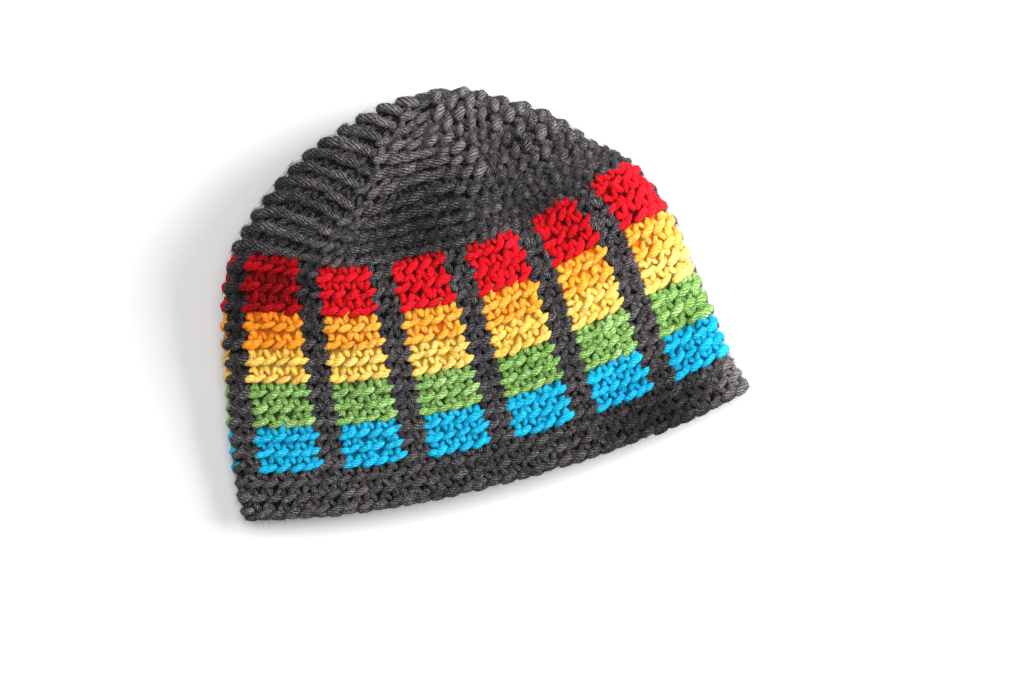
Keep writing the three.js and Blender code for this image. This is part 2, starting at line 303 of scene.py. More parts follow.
def section_slopes():
    """How fast every column of the section table changes at each row, from the rows beside it."""
    rounds = SECTION_ROWS[:, 0]
    last = len(rounds) - 1
    before = np.maximum(np.arange(last + 1) - 1, 0)
    after = np.minimum(np.arange(last + 1) + 1, last)
    return (SECTION_ROWS[after] - SECTION_ROWS[before]) / (rounds[after] - rounds[before])[:, None]


SECTION_SLOPES = section_slopes()


def section_at(rounds):
    """Every named column of the section table at the given rounds, on a smooth curve through it."""
    row_rounds = SECTION_ROWS[:, 0]
    i = np.clip(np.searchsorted(row_rounds, rounds, side="right") - 1, 0, len(row_rounds) - 2)
    span = (row_rounds[i + 1] - row_rounds[i])[..., None]
    t = (rounds - row_rounds[i])[..., None] / span
    a = (2 * t**3 - 3 * t**2 + 1) * SECTION_ROWS[i] + (t**3 - 2 * t**2 + t) * SECTION_SLOPES[i] * span
    b = (3 * t**2 - 2 * t**3) * SECTION_ROWS[i + 1] + (t**3 - t**2) * SECTION_SLOPES[i + 1] * span
    return dict(zip(SECTION_COLUMNS, np.moveaxis(a + b, -1, 0)))


def unit(vectors):
    return vectors / np.linalg.norm(vectors, axis=-1, keepdims=True)


def bell(distance, width):
    return np.exp(-((distance / width) ** 2))


def tent(distance, width):
    return np.maximum(0, 1 - np.abs(distance) / width)


def steps_from(stitch, stitches):
    """How many stitches the given ones lie from one of them, the shorter way round."""
    return np.mod(stitches - stitch + HALF_ROUND, STITCHES_ROUND) - HALF_ROUND


def spots(table, stitches, rounds, shape=bell):
    """Sum of a table's spots at the given places. The shape is how they fade along the round."""
    total = 0
    for stitch, at_round, half_stitches, half_rounds, amount in table:
        along = shape(steps_from(stitch, stitches), half_stitches)
        total = total + amount * along * bell(rounds - at_round, half_rounds)
    return total


def smooth_point(stitches, rounds):
    """Middle of the wall without dents: a flattened tube whose layers are joined by round folds."""
    stitches, rounds = np.broadcast_arrays(np.asarray(stitches, float), np.asarray(rounds, float))
    section = section_at(rounds)
    place = np.mod(stitches + HALF_ROUND / 2, STITCHES_ROUND) - HALF_ROUND / 2
    left_push = section["gather_left"] * bell(place - GATHER_LEFT, GATHER_WIDTH)
    right_push = section["gather_right"] * bell(place - GATHER_RIGHT, GATHER_WIDTH)
    place = np.mod(place + left_push - right_push, STITCHES_ROUND)
    on_top = place <= HALF_ROUND
    share = np.where(on_top, place, STITCHES_ROUND - place) / HALF_ROUND
    run_x = section["right_x"] - section["left_x"]
    run_y = section["right_y"] - section["left_y"]
    width = np.maximum(np.hypot(run_x, run_y), 2 * LEAST_LENGTH)
    fold = np.maximum(section["fold"], LEAST_LENGTH)
    quarter = math.pi / 2 * fold
    path = width - 2 * fold + 2 * quarter
    along = share * path
    nearest = np.minimum(along, path - along)
    angle = np.minimum(nearest, quarter) / fold
    inset = fold * (1 - np.cos(angle)) + np.maximum(0, nearest - quarter)
    across = np.where(along <= path - along, inset, width - inset) / width
    rise = fold * np.sin(angle)
    swell = np.maximum(0, 4 * across * (1 - across))
    crown_share = np.clip((BRIM_ROUND - rounds) / (BRIM_ROUND - CROWN_ROUNDS), 0, 1)
    bowed = swell ** (BOW_POWER_BRIM + (BOW_POWER_CROWN - BOW_POWER_BRIM) * crown_share)
    bow = np.where(on_top, section["top_bow"], section["bottom_bow"]) * bowed
    middle = section["bottom"] + fold
    hump = (section["top"] - section["bottom"] - 2 * fold) * swell**SWELL_POWER
    x = section["left_x"] + run_x * across
    y = section["left_y"] + run_y * across - bow
    z = np.where(on_top, middle + rise + hump, middle - rise)
    return np.stack([x, y, z], -1)


def normal_of(point_at, stitches, rounds):
    near = np.maximum(rounds, FIRST_SLOPE_ROUND)
    along_stitches = point_at(stitches + SLOPE_STEP, near) - point_at(stitches - SLOPE_STEP, near)
    along_rounds = point_at(stitches, near + SLOPE_STEP) - point_at(stitches, near - SLOPE_STEP)
    return unit(np.cross(along_rounds, along_stitches))


def round_push(stitches, rounds):
    """How far a stitch lies from the even course of its round, towards the brim."""
    push = spots(CORNERS, stitches, rounds, tent) + spots(DRAWS, stitches, rounds)
    return push * np.minimum(1, rounds / PUSH_FADE)


def wall_point(stitches, rounds):
    """Middle of the wall, with its knobs and dents and the pushes of its rounds."""
    stitches = np.mod(stitches, STITCHES_ROUND)
    rounds = rounds + round_push(stitches, rounds)
    height = spots(DENTS, stitches, rounds)
    return smooth_point(stitches, rounds) + normal_of(smooth_point, stitches, rounds) * height[..., None]


CROWN_AXIS = unit(
    normal_of(wall_point, np.arange(0.0, STITCHES_ROUND, COLUMN_PITCH), FIRST_SLOPE_ROUND).mean(0)
)


def fabric_point(stitches, rounds, height):
    """A point at a height over the middle of the wall, and the outward normal there."""
    stitches, rounds, height = np.broadcast_arrays(stitches, rounds, height)
    rounds = np.maximum(rounds, CENTRE_ROUND)
    blend = np.clip(rounds, 0, 1)[..., None]
    normal = unit(normal_of(wall_point, stitches, rounds) * blend + CROWN_AXIS * (1 - blend))
    return wall_point(stitches, rounds) + normal * height[..., None] - BOX_CENTRE, normal


def pressed(points):
    """The points, with those near the table pressed flat on it."""
    low = np.minimum(points[..., 2], PRESS_HEIGHT)
    flat = PRESS_HEIGHT * np.exp((low - PRESS_HEIGHT) / PRESS_HEIGHT)
    height = np.where(points[..., 2] < PRESS_HEIGHT, flat, points[..., 2])
    return np.concatenate([points[..., :2], height[..., None]], -1)


class Strand:
    """One pull of yarn in a stitch, on a smooth curve.

    Its path is its start, middle and end, each in stitch widths, rounds and millimetres of height. It
    has one radius at its middle and one at its ends.
    """

    def __init__(self, path, radius, end_radius, segments, sides, shade=0.0):
        start, middle, end = np.array(path, float)
        control = 2 * middle - (start + end) / 2
        self.t = np.linspace(0, 1, segments + 1)
        t = self.t[:, None]
        self.path = (1 - t) ** 2 * start + 2 * t * (1 - t) * control + t**2 * end
        belly = np.sin(math.pi * self.t) ** BELLY_POWER
        self.radius = end_radius + (radius - end_radius) * belly
        self.segments = segments
        self.sides = sides
        self.shade = shade


# Strands: path, radius at the middle and at the ends, segments, sides and shade. The shade is painted
# light and shade: ridges, ropes, knots, edge loops, the tips' points and the right legs are painted
# lighter, the left legs and the tips' smaller strands darker. A single crochet stitch, seen with the
# crown up, has a ridge strand that lies aslant along the round, and two legs that come down to it from
# the round before
RIDGE = Strand([(-0.5, 0.19, 0.45), (0, 0, 1.25), (0.5, -0.19, 0.45)], 1.72, 1.15, 9, 8, 0.3)
LEFT_LEG = Strand([(-0.42, -0.8, -0.8), (-0.27, -0.5, 0.15), (-0.06, -0.22, -0.2)], 1.5, 1.05, 4, 6, -0.1)
RIGHT_LEG = Strand([(0.5, -0.78, -0.8), (0.33, -0.5, 0.25), (0.12, -0.22, -0.2)], 1.5, 1.05, 4, 6, 0.1)
LEGS = (LEFT_LEG, RIGHT_LEG)
INSIDE_BAR = Strand([(-0.55, 0.1, -1.7), (0, 0, -2.6), (0.55, -0.1, -1.7)], 1.15, 0.8, 4, 5)
EDGE_LOOP = Strand([(-0.5, 0.02, 0.8), (0, 0.1, 0.2), (0.5, 0.0, -0.9)], 1.3, 1.0, 7, 8, 0.1)

# On the crown some stretches of the ridges lie drawn out into ropes along the round, and at the first
# corner and right of the second the stitches are drawn together into short plump knots
ROPE = Strand([(-0.6, 0.13, 0.35), (0, 0, 1.2), (0.6, -0.13, 0.35)], 1.9, 1.3, 9, 8, 0.1)
KNOT = Strand([(-0.36, 0.23, 0.1), (0, 0, 1.05), (0.36, -0.23, 0.1)], 1.78, 1.15, 8, 8, 0.25)

# Stretches of the crown: first and end stitch, first and end round, ridge strand, and the millimetres
# by which the ridge and the legs lie higher than their paths say
CROWN_RIDGES = (
    (-36, -9, 0, 12, RIDGE, 0, -0.5),
    (-9, 1, 0, 12, ROPE, -0.4, -1.6),
    (1, 7.6, 0, 12, ROPE, 0.4, -2.0),
    (7.6, 11, 0, 12, KNOT, 0.2, -0.6),
    (11, 20, 0, 4.5, KNOT, 0.1, -0.7),
    (11, 20, 4.5, 12, ROPE, 0.3, -2.0),
    (20, 36, 0, 12, KNOT, 0.1, -1.0),
)

# Where a colour starts and ends in a round, its ridge runs on to a point over the grey beside it, and
# a smaller strand lies next to that, towards the crown
FIRST_TIPS = (
    Strand([(-1.02, 0.16, 0.0), (-0.5, 0.04, 1.2), (-0.05, -0.08, 0.8)], 1.75, 0.35, 6, 7, 0.2),
    Strand([(-0.56, -0.3, 0.1), (-0.4, -0.42, 0.5), (-0.2, -0.52, -0.4)], 1.4, 0.6, 5, 7, -0.1),
)
LAST_TIPS = (
    Strand([(0.05, 0.06, 0.8), (0.5, -0.1, 1.2), (1.04, -0.28, 0.0)], 1.75, 0.35, 6, 7, 0.2),
    Strand([(0.2, -0.42, -0.4), (0.4, -0.5, 0.5), (0.58, -0.6, 0.1)], 1.4, 0.6, 5, 7, -0.1),
)


def yarn_coordinates(strand):
    """How far along and about the yarn each corner of a strand's quads and end triangles is."""
    along, about = np.meshgrid(strand.t, np.arange(strand.sides + 1) / strand.sides, indexing="ij")
    grid = np.stack([along, about], -1)
    quads = np.stack([grid[:-1, :-1], grid[:-1, 1:], grid[1:, 1:], grid[1:, :-1]], 2).reshape(-1, 4, 2)
    start = grid[0]
    end = grid[-1]
    start_fan = np.stack([start[1:], start[:-1], start[:-1]], 1)
    end_fan = np.stack([end[:-1], end[1:], end[:-1]], 1)
    return quads, np.concatenate([start_fan, end_fan])


def strand_rings(strand, stitches, rounds, widths, jitter):
    """Centres, three directions (ahead, sideways, up) and points of the rings of all a strand's copies."""
    u, v, height = strand.path.T
    stitch_lines = stitches[:, None] + (u + jitter[:, ALONG, None]) * widths[:, None]
    round_lines = rounds[:, None] + v * (1 + jitter[:, SLANT, None]) + jitter[:, ACROSS, None]
    centres, normals = fabric_point(stitch_lines, round_lines, height + jitter[:, HEIGHT, None])
    ahead = unit(np.gradient(centres, axis=1))
    side = unit(np.cross(ahead, normals))
    up = np.cross(side, ahead)
    turn = FULL_TURN * np.arange(strand.sides) / strand.sides
    twist = FULL_TURN * STRAND_PLIES * STRAND_TWIST * strand.t[:, None]
    reach = strand.radius[:, None] * (1 + LOBE_DEPTH * np.cos(STRAND_PLIES * turn + twist))
    random = np.random.default_rng(len(stitches))
    uneven = random.normal(0, UNEVENNESS, (len(stitches), *reach.shape))
    run = np.linalg.norm(np.diff(centres, axis=1), axis=-1).sum(1)
    fullness = np.clip(run / np.median(run), 1, FULLEST)[:, None, None]
    reach = (reach * fullness * (1 + jitter[:, GIRTH, None, None] + uneven))[..., None]
    sideways = reach * np.cos(turn)[:, None] * side[:, :, None]
    upwards = reach * np.sin(turn)[:, None] * up[:, :, None]
    return centres, ahead, side, up, centres[:, :, None] + sideways + upwards


def strand_mesh(strand, stitches, rounds, widths, jitter):
    """All copies of one strand: vertices, quads, triangles, and a yarn coordinate for each corner."""
    centres, ahead, _, _, rings = strand_rings(strand, stitches, rounds, widths, jitter)
    start_tips = centres[:, :1] - ahead[:, :1] * strand.radius[0] * TIP_REACH
    end_tips = centres[:, -1:] + ahead[:, -1:] * strand.radius[-1] * TIP_REACH
    copies = len(stitches)
    points = np.concatenate([rings.reshape(copies, -1, 3), start_tips, end_tips], 1)
    copy_points = points.shape[1]
    around = np.arange(strand.sides)
    following = (around + 1) % strand.sides
    ring_starts = np.arange(strand.segments)[:, None] * strand.sides
    first = ring_starts + around
    beside = ring_starts + following
    quads = np.stack([first, beside, beside + strand.sides, first + strand.sides], -1).reshape(-1, 4)
    start_tip = np.full_like(around, copy_points - 2)
    end_tip = start_tip + 1
    last_ring = strand.segments * strand.sides
    start = np.stack([following, around, start_tip], -1)
    end = np.stack([last_ring + around, last_ring + following, end_tip], -1)
    triangles = np.concatenate([start, end])
    lift = np.arange(copies)[:, None, None] * copy_points
    quad_yarn, triangle_yarn = yarn_coordinates(strand)
    # Painted light and shade: the strand's own shade and the painted spots lighten or darken it, on top of
    # its random tone
    shade = jitter[:, SHADE] + strand.shade + spots(PAINTED_SHADE_AND_LIGHT, stitches, rounds)
    return {
        "points": points.reshape(-1, 3),
        "quads": (quads + lift).reshape(-1, 4),
        "triangles": (triangles + lift).reshape(-1, 3),
        "quad_yarn": np.tile(quad_yarn, (copies, 1, 1)),
        "triangle_yarn": np.tile(triangle_yarn, (copies, 1, 1)),
        "shade": np.repeat(shade, copy_points),
    }


def joined(meshes):
    """Several meshes as one."""
    lifts = np.cumsum([0] + [len(mesh["points"]) for mesh in meshes])
    lifted = [
        {**mesh, "quads": mesh["quads"] + lift, "triangles": mesh["triangles"] + lift}
        for mesh, lift in zip(meshes, lifts)
    ]
    return {name: np.concatenate([mesh[name] for mesh in lifted]) for name in lifted[0]}


def jitters(seed, count):
    """Small differences from stitch to stitch. The shade's are spread evenly, from 0 to 1."""
    random = np.random.default_rng(seed)
    values = random.normal(0, 1, (count, len(SPREADS))).clip(-MOST_SPREADS, MOST_SPREADS) * SPREADS
    values[:, SHADE] = random.random(count)
    return values


def stitch_mesh(stitches, rounds, widths, seed, strands, lifts=NO_LIFTS):
    """The same strands at every one of the stitches."""
    meshes = []
    for number, (strand, lift) in enumerate(zip(strands, lifts)):
        jitter = jitters(seed + number, len(stitches))
        jitter[:, HEIGHT] += lift
        meshes.append(strand_mesh(strand, stitches, rounds, widths, jitter))
    return joined(meshes)


def fuzz_mesh(stitches, rounds, widths, seed, fibres):
    """Thin pointed fibres that start inside the ridge strand's upper half and stray over the fabric."""
    jitter = jitters(seed, len(stitches))
    centres, ahead, sideways, up, rings = strand_rings(RIDGE, stitches, rounds, widths, jitter)
    random = np.random.default_rng(seed + FIBRE_SEED)
    count = len(stitches) * fibres
    owner = np.repeat(np.arange(len(stitches)), fibres)
    at = random.integers(0, RIDGE.segments + 1, count)
    side = random.integers(0, RIDGE.sides // 2 + 1, count)
    centre = centres[owner, at]
    root = centre + (rings[owner, at, side] - centre) * FIBRE_ROOT
    heading = random.uniform(0, FULL_TURN, count)[:, None]
    rise = random.uniform(*FIBRE_RISE, count)[:, None]
    level = np.cos(heading) * ahead[owner, at] + np.sin(heading) * sideways[owner, at]
    lean = unit(level + rise * up[owner, at])
    length = FIBRE_SHORT + (FIBRE_LONG - FIBRE_SHORT) * random.random(count) ** 2
    tip = root + lean * length[:, None]
    across = unit(np.cross(lean, up[owner, at]))
    beside = np.cross(lean, across)
    corners = [
        root + FIBRE_THICK * (across * math.cos(turn) + beside * math.sin(turn))
        for turn in FULL_TURN * np.arange(FIBRE_SIDES) / FIBRE_SIDES
    ]
    points = np.stack([*corners, tip], 1)
    copy_points = points.shape[1]
    lift = np.arange(count)[:, None, None] * copy_points
    # Painted light: the fibres' shade paints them towards the yarn's lit tone, and the painted light and
    # shade spots add to it
    least_shade, most_shade = FIBRE_PAINTED_LIGHT
    shade = least_shade + (most_shade - least_shade) * random.random(count)
    shade += spots(PAINTED_SHADE_AND_LIGHT, stitches, rounds)[owner]
    return {
        "points": points.reshape(-1, 3),
        "quads": np.zeros((0, 4), int),
        "triangles": (np.array(FIBRE_FACES) + lift).reshape(-1, 3),
        "quad_yarn": np.zeros((0, 4, 2)),
        "triangle_yarn": np.tile(np.array(FIBRE_YARN), (count * len(FIBRE_FACES), 1, 1)),
        "shade": np.repeat(shade, copy_points),
    }


def evenly_round(count, at_round):
    """Stitch lines that part a round into equal lengths, starting at the left fold."""
    lines = np.linspace(0, STITCHES_ROUND, STITCHES_ROUND * LINES_A_STITCH + 1)
    points = wall_point(lines, np.full_like(lines, at_round))
    lengths = np.append(0, np.cumsum(np.linalg.norm(np.diff(points, axis=0), axis=-1)))
    return np.interp((np.arange(count) + 0.5) / count * lengths[-1], lengths, lines)


def crown_stitches():
    """Six more stitches in every round: (stitch, round, width in stitches) of each."""
    places = []
    for number in range(1, CROWN_ROUNDS + 1):
        count = CROWN_INCREASES * number
        at_round = number - 1 + RIDGE_PLACE
        counted = (np.arange(count) + 0.5) * STITCHES_ROUND / count
        even = EVEN_SHARE * min(1, (CROWN_ROUNDS - at_round) / EVEN_FADE)
        lines = counted * (1 - even) + evenly_round(count, at_round) * even
        before = np.roll(lines, 1)
        after = np.roll(lines, -1)
        before[0] -= STITCHES_ROUND
        after[-1] += STITCHES_ROUND
        places.append(np.stack([lines, np.full(count, at_round), (after - before) / 2], -1))
    return np.concatenate(places)


def is_rib(stitch):
    return stitch % COLUMN_PITCH < RIB_STITCHES


def belongs(part, stitch, at_round):
    """Whether a stitch of a round is one of a part's own."""
    if not part.first_round <= at_round < part.end_round:
        return False
    if part.yarn != "grey_yarn":
        return not is_rib(stitch)
    return part.name != "ribs" or is_rib(stitch) or at_round >= COLOURS_END


def drawn_in(places):
    """A colour block's stitches, drawn a little towards the block's middle line."""
    middle = places[:, 0] // COLUMN_PITCH * COLUMN_PITCH + (COLUMN_PITCH + RIB_STITCHES) / 2
    drawn = places.copy()
    drawn[:, 0] = middle + (places[:, 0] - middle) * BLOCK_SHARE
    drawn[:, 2] *= BLOCK_SHARE
    return drawn


def part_stitches(part):
    """A part's stitches, round by round: (stitch, round, width in stitches) of each."""
    if part.name == "crown":
        return crown_stitches()
    places = []
    for number in range(part.first_round, part.end_round):
        for stitch in range(STITCHES_ROUND):
            if belongs(part, stitch, number):
                places.append((stitch + 0.5, number + RIDGE_PLACE, 1.0))
    places = np.array(places)
    return places if part.yarn == "grey_yarn" else drawn_in(places)


def crown_mesh(stitches, rounds, widths, seed):
    """The crown's stitches, each stretch with the ridge strand that its yarn is pulled into."""
    place = steps_from(0, stitches)
    meshes = []
    for number, stretch in enumerate(CROWN_RIDGES):
        start, end, first_round, end_round, ridge, ridge_lift, leg_lift = stretch
        some = (place >= start) & (place < end) & (rounds >= first_round) & (rounds < end_round)
        chosen = (stitches[some], rounds[some], widths[some])
        lifts = (ridge_lift, leg_lift, leg_lift)
        meshes.append(stitch_mesh(*chosen, seed + number * STRETCH_SEEDS, (ridge, *LEGS), lifts))
    return joined(meshes)


def front_mesh(part, stitches, rounds, widths, seed):
    """The strands that show on a part, with the brim's edge loops or a colour's pointed ends."""
    if part.name == "crown":
        return crown_mesh(stitches, rounds, widths, seed)
    lifts = RIB_LIFTS if part.name == "ribs" else NO_LIFTS
    meshes = [stitch_mesh(stitches, rounds, widths, seed, (RIDGE, *LEGS), lifts)]
    if part.name == "brim":
        last = stitches[rounds > BRIM_ROUND - 1]
        edge_rounds = np.full(len(last), BRIM_ROUND)
        meshes.append(stitch_mesh(last, edge_rounds, np.ones(len(last)), EDGE_SEED, (EDGE_LOOP,)))
    if part.yarn != "grey_yarn":
        for stitch, tips in ((RIB_STITCHES, FIRST_TIPS), (COLUMN_PITCH - 1, LAST_TIPS)):
            ends = np.floor(stitches) % COLUMN_PITCH == stitch
            meshes.append(stitch_mesh(stitches[ends], rounds[ends], widths[ends], seed + stitch, tips))
    return joined(meshes)


def backing_mesh(part):
    """A closed slab behind a part's stitches."""
    columns = STITCHES_ROUND * BACK_CELLS
    rows = BRIM_ROUND * BACK_CELLS
    stitch_lines = np.arange(columns) / BACK_CELLS
    round_lines = np.minimum(np.arange(rows + 1) / BACK_CELLS, BRIM_ROUND - BACK_RIM)
    stitches, rounds = np.meshgrid(stitch_lines, round_lines)
    low = stitches.size
    faces = []
    for row in range(rows):
        for column in range(columns):
            if not belongs(part, column // BACK_CELLS, row // BACK_CELLS):
                continue
            a = row * columns + column
            b = row * columns + (column + 1) % columns
            c = b + columns
            d = a + columns
            faces.append((a, d, c, b))
            faces.append((a + low, b + low, c + low, d + low))
            neighbours = (
                (row, column - 1, (a, a + low, d + low, d)),
                (row, column + 1, (b, c, c + low, b + low)),
                (row - 1, column, (a, b, b + low, a + low)),
                (row + 1, column, (d, d + low, c + low, c)),
            )
            for next_row, next_column, wall in neighbours:
                stitch = (next_column % columns) // BACK_CELLS
                if next_row >= 0 and not belongs(part, stitch, next_row // BACK_CELLS):
                    faces.append(wall)
    outer, _ = fabric_point(stitches, rounds, BACK_OUTER)
    inner, _ = fabric_point(stitches, rounds, BACK_INNER)
    points = np.concatenate([outer.reshape(-1, 3), inner.reshape(-1, 3)])
    used, quads = np.unique(np.array(faces), return_inverse=True)
    quads = quads.reshape(-1, 4)
    place = np.tile(np.stack([stitches.ravel(), rounds.ravel()], -1), (2, 1))[used]
    return {
        "points": points[used],
        "quads": quads,
        "triangles": np.zeros((0, 3), int),
        "quad_yarn": place[quads],
        "triangle_yarn": np.zeros((0, 3, 2)),
        # Painted shade: the backing is painted dark for the shade in the gaps between the stitches
        "shade": np.full(len(used), BACK_PAINTED_SHADE),
    }


def mesh_object(name, made, material):
    points = pressed(made["points"]) * MM
    quads = made["quads"]
    triangles = made["triangles"]
    corners = np.concatenate([quads.ravel(), triangles.ravel()])
    quad_starts = np.arange(len(quads)) * 4
    triangle_starts = quads.size + np.arange(len(triangles)) * 3
    starts = np.concatenate([quad_starts, triangle_starts])
    mesh = bpy.data.meshes.new(name)
    mesh.vertices.add(len(points))
    mesh.vertices.foreach_set("co", points.ravel())
    mesh.loops.add(len(corners))
    mesh.loops.foreach_set("vertex_index", corners)
    mesh.polygons.add(len(starts))
    mesh.polygons.foreach_set("loop_start", starts)
    mesh.polygons.foreach_set("use_smooth", np.ones(len(starts), bool))
    yarn = mesh.uv_layers.new(name="yarn")
    coordinates = np.concatenate([made["quad_yarn"].ravel(), made["triangle_yarn"].ravel()])
    yarn.data.foreach_set("uv", coordinates)
    # The shade attribute holds each strand's random tone and its painted light and shade
    shade = mesh.attributes.new("shade", "FLOAT", "POINT")
    shade.data.foreach_set("value", made["shade"])
    mesh.update()
    mesh.validate()
    mesh.materials.append(material)
    piece = bpy.data.objects.new(name, mesh)
    bpy.context.scene.collection.objects.link(piece)
    return piece


def node(tree, kind, at, **settings):
    made = tree.nodes.new(kind)
    made.location = at
    for name, value in settings.items():
        setattr(made, name, value)
    return made


def math_node(tree, operation, at, first, second=None, third=None, clamp=False):
    """Output of a Math node. Each of its inputs is a number or another node's output."""
    made = node(tree, "ShaderNodeMath", at, operation=operation, use_clamp=clamp)
    for socket, value in zip(made.inputs, (first, second, third)):
        if isinstance(value, (int, float)):
            socket.default_value = value
        elif value is not None:
            tree.links.new(value, socket)
    return made.outputs[0]


def noise_node(tree, at, scale, detail, vector, roughness=0.5):
    """Output of a Noise Texture node. Its scale is a number or another node's output."""
    made = node(tree, "ShaderNodeTexNoise", at)
    made.inputs["Detail"].default_value = detail
    made.inputs["Roughness"].default_value = roughness
    if isinstance(scale, float):
        made.inputs["Scale"].default_value = scale
    else:
        tree.links.new(scale, made.inputs["Scale"])
    tree.links.new(vector, made.inputs["Vector"])
    return made.outputs[0]


def mix_node(tree, at, factor, first, second):
    """Output of a Mix node between two colours, whose sockets are the ones numbered 6, 7 and 2."""
    made = node(tree, "ShaderNodeMix", at, data_type="RGBA")
    tree.links.new(factor, made.inputs["Factor"])
    tree.links.new(first, made.inputs[6])
    tree.links.new(second, made.inputs[7])
    return made.outputs[2]


def new_group(name, inputs, outputs):
    tree = bpy.data.node_groups.new(name, "ShaderNodeTree")
    for socket_name, kind, value in inputs:
        socket = tree.interface.new_socket(socket_name, in_out="INPUT", socket_type=kind)
        if value is not None:
            socket.default_value = value
    for socket_name, kind in outputs:
        tree.interface.new_socket(socket_name, in_out="OUTPUT", socket_type=kind)
    source = node(tree, "NodeGroupInput", (-1200, 0))
    sink = node(tree, "NodeGroupOutput", (900, 0))
    return tree, source.outputs, sink.inputs


FLOAT = "NodeSocketFloat"
COLOUR = "NodeSocketColor"


def plied_yarn_group():
    """Light and dark of the twisted plies, partly painted highlight and shade, and of single fibres, from
    the yarn coordinate.
    """
    tree, given, made = new_group(
        "plied_yarn",
        [
            ("Plies", FLOAT, SHADED_PLIES),
            ("Turns", FLOAT, SHADED_TURNS),
            ("Fibre Scale", FLOAT, FIBRE_SCALE),
        ],
        [("Ply", FLOAT), ("Fibre", FLOAT), ("Height", FLOAT)],
    )
    place = node(tree, "ShaderNodeUVMap", (-1200, -200), uv_map="yarn")
    parts = node(tree, "ShaderNodeSeparateXYZ", (-1000, -200))
    tree.links.new(place.outputs[0], parts.inputs[0])
    run, about, _ = parts.outputs

    twisted = math_node(tree, "MULTIPLY", (-800, -100), run, given["Turns"])
    lean = math_node(tree, "ADD", (-620, -150), about, twisted)
    wave = math_node(tree, "MULTIPLY", (-440, -150), lean, given["Plies"])
    turn = math_node(tree, "MULTIPLY", (-260, -150), wave, FULL_TURN)
    sine = math_node(tree, "SINE", (-80, -150), turn)
    plies = math_node(tree, "MULTIPLY_ADD", (100, -150), sine, 0.5, 0.5)

    angle = math_node(tree, "MULTIPLY", (-800, 260), lean, FULL_TURN)
    shade = node(tree, "ShaderNodeAttribute", (-1000, 120), attribute_name="shade")
    drift = math_node(tree, "MULTIPLY", (-1000, 300), run, STREAK_RUN)
    begin = math_node(tree, "MULTIPLY_ADD", (-800, 120), shade.outputs["Fac"], STREAK_START, drift)
    round_the_yarn = node(tree, "ShaderNodeCombineXYZ", (-440, 260))
    tree.links.new(begin, round_the_yarn.inputs[0])
    tree.links.new(math_node(tree, "COSINE", (-620, 320), angle), round_the_yarn.inputs[1])
    tree.links.new(math_node(tree, "SINE", (-620, 180), angle), round_the_yarn.inputs[2])
    streak = noise_node(tree, (-260, 260), STREAK_SCALE, STREAK_DETAIL, round_the_yarn.outputs[0])
    streaks = math_node(tree, "MULTIPLY_ADD", (-80, 260), streak, CONTRAST, CONTRAST_START, clamp=True)

    fine_ply = math_node(tree, "MULTIPLY", (100, 60), plies, PLY_SHARE)
    ply = math_node(tree, "MULTIPLY_ADD", (280, 0), streaks, STREAK_SHARE, fine_ply, clamp=True)
    tree.links.new(ply, made["Ply"])

    where = node(tree, "ShaderNodeTexCoord", (-1000, -520)).outputs["Object"]
    fibre = noise_node(tree, (-600, -520), given["Fibre Scale"], FIBRE_DETAIL, where, FIBRE_ROUGHNESS)
    tree.links.new(fibre, made["Fibre"])
    ply_height = math_node(tree, "MULTIPLY", (460, -300), ply, PLY_RELIEF)
    fibre_height = math_node(tree, "MULTIPLY", (460, -460), fibre, FIBRE_RELIEF)
    height = math_node(tree, "ADD", (640, -380), ply_height, fibre_height)
    tree.links.new(height, made["Height"])
    return tree


def yarn_tone_group():
    """One strand colour between a shadow, a middle and a lit tone."""
    tree, given, made = new_group(
        "yarn_tone",
        [
            ("Shadow", COLOUR, None), ("Middle", COLOUR, None), ("Lit", COLOUR, None),
            ("Ply", FLOAT, 0.5), ("Fibre", FLOAT, 0.5), ("Mottle", FLOAT, 0.22),
        ],
        [("Color", COLOUR)],
    )
    fibre = math_node(tree, "MULTIPLY_ADD", (-800, -100), given["Fibre"], CONTRAST, CONTRAST_START)
    plies = math_node(tree, "MULTIPLY", (-600, -40), given["Ply"], PLY_TONE)
    tone = math_node(tree, "MULTIPLY_ADD", (-420, -60), fibre, FIBRE_TONE, plies)

    # The shade attribute holds each strand's random tone and its painted light and shade, which the mottle
    # spreads between the shadow and lit tones
    shade = node(tree, "ShaderNodeAttribute", (-1200, -260), attribute_name="shade")
    where = node(tree, "ShaderNodeTexCoord", (-1200, -480)).outputs["Object"]
    patch = noise_node(tree, (-1000, -480), PATCH_SCALE, PATCH_DETAIL, where)
    mottled = math_node(tree, "SUBTRACT", (-800, -420), patch, 0.5)
    strand = math_node(tree, "SUBTRACT", (-800, -300), shade.outputs["Fac"], 0.5)
    uneven = math_node(tree, "ADD", (-600, -360), mottled, strand)
    spread = math_node(tree, "MULTIPLY", (-420, -360), uneven, given["Mottle"])

    level = math_node(tree, "ADD", (-240, -160), tone, spread, clamp=True)
    low = math_node(tree, "MULTIPLY", (-60, -60), level, 2, clamp=True)
    high = math_node(tree, "MULTIPLY_ADD", (-60, -240), level, 2, -1, clamp=True)
    darker = mix_node(tree, (160, 60), low, given["Shadow"], given["Middle"])
    tree.links.new(mix_node(tree, (380, 0), high, darker, given["Lit"]), made["Color"])
    return tree


